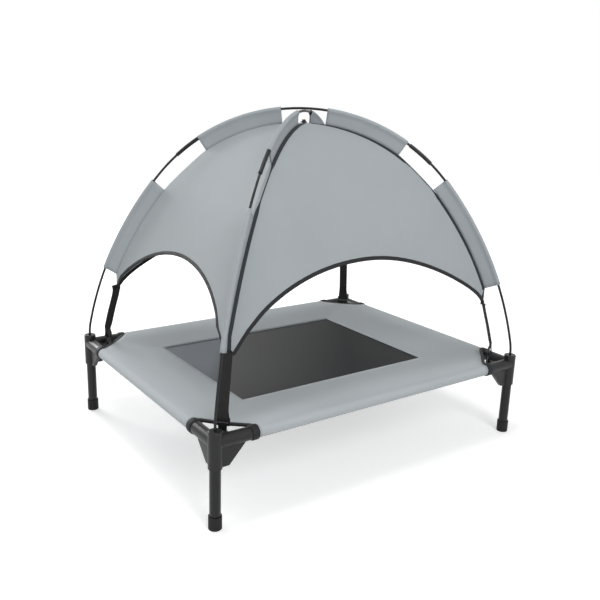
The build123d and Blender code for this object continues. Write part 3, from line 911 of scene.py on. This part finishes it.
def smooth_line(knots, steps):
    # Catmull-Rom curve through knots
    knots = np.array(knots, float)
    ends = np.concatenate((2 * knots[:1] - knots[1:2], knots, 2 * knots[-1:] - knots[-2:-1]))
    line = []
    for a, b, c, d in zip(ends, ends[1:], ends[2:], ends[3:]):
        for t in np.linspace(0, 1, steps, endpoint=False):
            line.append(0.5 * (2 * b + (c - a) * t + (2 * a - 5 * b + 4 * c - d) * t ** 2
                               + (3 * b - a - 3 * c + d) * t ** 3))
    return np.array(line + [knots[-1]])


def strap_course(over):
    # Strap seen from its edge, (reach, height), from its sewn end to the hook and back up behind
    return smooth_line([
        (top_reach + seam_lean * over, hem_corner + over),
        (top_reach, hem_corner - 6 * mm),
        (top_reach + (front_line - top_reach) * 0.5 + 0.9 * mm, (hem_corner + hook_top) / 2),
        (front_line, hook_top + 6 * mm),
        (front_line + 0.1 * mm, slot_top + 1.5 * mm),
        (front_line - 1.0 * mm, slot_top - 1.4 * mm),
        (hook_reach, slot_top - 2.2 * mm),
        (back_line + 1.0 * mm, slot_top - 1.4 * mm),
        (back_line - 0.1 * mm, slot_top + 1.5 * mm),
        (back_line + 0.4 * mm, hook_top + 3 * mm),
        (front_line - 2.6 * mm, hook_top + 12 * mm),
        (front_line - 3.6 * mm, hook_top + 24 * mm),
    ], strap_steps)


# Straps twist a little between the canopy's corner and the hook, each by its own amount
strap_turn_hook = 45   # degrees, as are those at the top
strap_turn_top = {"front_left": 45, "front_right": 30, "rear_left": 68, "rear_right": 24}
twist_start, twist_run = 5 * mm, 20 * mm   # above the hook
# Length of strap that is sewn on above the seam's foot
strap_over = {
    "front_left": 7 * mm, "front_right": 2 * mm,
    "rear_left": 11 * mm, "rear_right": 2 * mm,
}
for name, corner in corners.items():
    course = strap_course(strap_over[name])
    ahead = np.gradient(course, axis=0)
    rising = np.clip((course[:, 1] - hook_top - twist_start) / twist_run, 0, 1)
    rising = rising * rising * (3 - 2 * rising)
    path = [at_corner(corner, *p) for p in course]
    twist = radians(strap_turn_top[name] - strap_turn_hook)
    strap_turn = radians(strap_turn_hook) + twist * rising
    facing = [(-corner[0] * cos(turn) * down, -corner[1] * sin(turn) * down, out)
              for turn, (out, down) in zip(strap_turn, ahead)]
    strap = skin("strap_webbing_" + name, [swept(path, facing, strap_width, strap_thickness)],
                 webbing, ring=True, caps=True)
    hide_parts("corner_strap_" + name)
    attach(strap, "canopy")

# %% [markdown]
# ## Bed cover
# The cot is one piece of cloth with a sleeve along each side for a rail. It is stretched, sinks
# a little to the mesh in the middle and is cut off across each corner, straight with rounded ends.
# The top is a ring of rows from the window out to the rails; along the four sides the rows carry
# on round the rail and back to a line of stitching underneath.

# %% Cot cloth
cover_thickness = 1.2 * mm
cover_sag = 8 * mm
sleeve_radius = 11.5 * mm
cover_top = rail_height + sleeve_radius
window_x, window_y = 228 * mm, 170.5 * mm
window_shift = -14.5 * mm
sag_border = 10 * mm   # level border round the window
sag_x, sag_y = window_x + sag_border, window_y + sag_border
sag_power = 6   # the higher, the squarer the dip
mouth_middle = 73.8 * mm
mouth_tape = 14.4 * mm
cut_half = [(76.5, 1.0), (73.5, 9.5), (66.0, 17.5)]   # millimetres from the leg's axis
cut_knots = cut_half + [(41.5, 41.5)] + [(b, a) for a, b in reversed(cut_half)]
cut_steps = 6
cut_line = smooth_line(np.array(cut_knots) * mm, cut_steps)
cloth_share = 1.035   # the cloth ends this much further from the leg than the tape's middle
cloth_edge = cut_line * cloth_share
cloth_cut = cloth_edge[0, 0]
side_steps, arc_steps, ring_rows = 40, len(cloth_edge) - 1, 12
corner_share = 42 * mm


def cover_height(x, y):
    aside = x - window_shift
    room = np.where(aside < 0, leg_x + window_shift, leg_x - window_shift)
    rise_x = np.clip((np.abs(aside) - sag_x) / (room - sag_x), 0, 1)
    rise_y = np.clip((np.abs(y) - sag_y) / (leg_y - sag_y), 0, 1)
    rise = (rise_x ** sag_power + rise_y ** sag_power) ** (1 / sag_power)
    return cover_top - cover_sag * (1 - np.clip(rise, 0, 1))


def ring_points():
    # Inner and outer points round the cot, anticlockwise from the front left cut-out
    inner, outer = [], []
    for tx, ty in ((1, 0), (0, 1), (-1, 0), (0, -1)):
        nx, ny = ty, -tx
        half_out = (leg_x if tx else leg_y) - cloth_cut
        half_in = (window_x if tx else window_y) - corner_share
        off_out = leg_y if tx else leg_x
        off_in = window_y if tx else window_x
        for s in np.linspace(-1, 1, side_steps + 1):
            inner.append((tx * s * half_in + nx * off_in, ty * s * half_in + ny * off_in))
            outer.append((tx * s * half_out + nx * off_out, ty * s * half_out + ny * off_out))
        to_leg = half_out + cloth_cut
        leg = (tx * to_leg + nx * off_out, ty * to_leg + ny * off_out)
        for i, (before, past) in enumerate(cloth_edge[1:-1], 1):
            outer.append((leg[0] - tx * before - nx * past, leg[1] - ty * before - ny * past))
            part = 2 * i / arc_steps
            go = min(part, 1) * corner_share
            turned = max(part - 1, 0) * corner_share
            inner.append((tx * (half_in + go) + nx * off_in - nx * turned,
                          ty * (half_in + go) + ny * off_in - ny * turned))
    return np.array(inner) + (window_shift, 0), np.array(outer)


inner, outer = ring_points()
plan = inner[None] + (outer - inner)[None] * np.linspace(0, 1, ring_rows)[:, None, None]
cot_top = np.concatenate((plan, cover_height(plan[..., 0], plan[..., 1])[..., None]), axis=-1)
wrap_first, wrap_last, wrap_steps = 90, 300, 22   # degrees round the rail
wrap_turn = np.radians(np.linspace(wrap_first, wrap_last, wrap_steps))
stitch_in, stitch_gap = 27 * mm, 2.6 * mm
under_parts = (0.35, 0.7, 1.0)


def wrap_rows(edge):
    # Rows that carry one side's outer edge round the rail and back under the cloth
    way = np.array((edge[:, 0].mean(), edge[:, 1].mean()))
    way /= np.linalg.norm(way)
    axis_line = np.concatenate((edge[:, :2], np.full((len(edge), 1), rail_height)), axis=1)
    out = np.array((way[0], way[1], 0))
    up = np.array((0, 0, 1))
    rows = [axis_line + sleeve_radius * (up * sin(a) - out * cos(a)) for a in wrap_turn]
    under = axis_line - out * stitch_in
    under[:, 2] = cover_height(under[:, 0], under[:, 1]) - stitch_gap
    for part in under_parts:
        rows.append(rows[len(wrap_turn) - 1] * (1 - part) + under * part)
    return np.array(rows)


ring_closed = np.concatenate((cot_top, cot_top[:, :1]), axis=1)
count = side_steps + arc_steps
wraps = [wrap_rows(cot_top[-1, k * count:k * count + side_steps + 1]) for k in range(4)]
cot = skin("cot_cloth", [ring_closed] + wraps, cot_weave_painted_light)
shaped = bmesh.new()
shaped.from_mesh(cot.data)
bmesh.ops.remove_doubles(shaped, verts=shaped.verts, dist=weld_gap)
bmesh.ops.recalc_face_normals(shaped, faces=shaped.faces)
highest = max(shaped.faces, key=lambda face: abs(face.normal.z))
if highest.normal.z < 0:
    bmesh.ops.reverse_faces(shaped, faces=shaped.faces)
shaped.to_mesh(cot.data)
shaped.free()
flat_layer = cot.data.uv_layers["flat"].data
for loop in cot.data.loops:
    place = cot.data.vertices[loop.vertex_index].co
    wrapped = cover_top - place.z if place.z < rail_height else 0
    flat_layer[loop.index].uv = (place.x, place.y + wrapped)
cot_area = measure(cot)
thicken(cot, cover_thickness)
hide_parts("bed_cover")
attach(cot, "bed")

# %% [markdown]
# ## Mesh window
# The mesh is sewn under the edge of the window and hangs a few millimetres in the middle.
# A plain grid with a shallow dip is enough, since its texture comes from the material.

# %% Mesh sheet
mesh_lap = 5 * mm
mesh_dip = 3 * mm
mesh_gap = 0.2 * mm
mesh_thickness = 0.8 * mm
mesh_columns, mesh_rows = 41, 31
mesh_level = cover_top - cover_sag - cover_thickness - mesh_gap
mesh_x = np.linspace(-window_x - mesh_lap, window_x + mesh_lap, mesh_columns)
mesh_y = np.linspace(-window_y - mesh_lap, window_y + mesh_lap, mesh_rows)
lay_x, lay_y = np.meshgrid(mesh_x, mesh_y)
dip = (1 - (lay_x / mesh_x[-1]) ** 2) * (1 - (lay_y / mesh_y[-1]) ** 2)
lay = np.stack((lay_x + window_shift, lay_y, mesh_level - mesh_dip * dip), axis=-1)
net = skin("mesh_window", [lay], open_mesh)
measure(net)
thicken(net, mesh_thickness)
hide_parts("mesh_panel")
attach(net, "bed")

# %% [markdown]
# ## Cut-out bindings
# Black tape is folded over each cut corner and round the mouths of the two sleeves beside it,
# where it shows as a thick black ring next to the bracket. The tape along the cut and the two rings
# are swept with the same tape helper and kept as one piece for each corner.

# %% Cut-out tapes
ring_thickness = 3.6 * mm
ring_lift, chord_lift = 0.5 * mm, 0.7 * mm   # how far the tapes stand off the cloth
ring_radius = sleeve_radius + ring_lift
chord_tape = 8 * mm
chord_thickness = 5 * mm
ring_steps = 36
around = np.linspace(0, 2 * pi, ring_steps, endpoint=False)
for name, corner in corners.items():
    leg = np.array((corner[0] * leg_x, corner[1] * leg_y))
    line = leg - np.array(corner) * cut_line
    tape_height = cover_height(line[:, 0], line[:, 1]) - chord_thickness / 2 + chord_lift
    path = np.concatenate((line, tape_height[:, None]), axis=1)
    facing = np.tile((0.0, 0.0, 1.0), (len(path), 1))
    loops = [swept(path, facing, chord_tape, chord_thickness)]
    for reach in ((-corner[0], 0), (0, -corner[1])):
        along = np.array((reach[0], reach[1], 0.0))
        flat_side = np.array((-reach[1], reach[0], 0.0))
        centre = np.array((*leg, rail_height)) + along * mouth_middle
        upward = np.array((0, 0, 1.0))
        spoke = flat_side * np.cos(around)[:, None] + upward * np.sin(around)[:, None]
        ring_path = centre + spoke * ring_radius
        loops.append(swept(ring_path, spoke, mouth_tape, ring_thickness, closed=True))
    tape = skin("cutout_tape_" + name, loops, black_tape, ring=True)
    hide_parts("cover_binding_" + name)
    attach(tape, "bed")
print("cut-out tapes:", len(corners))
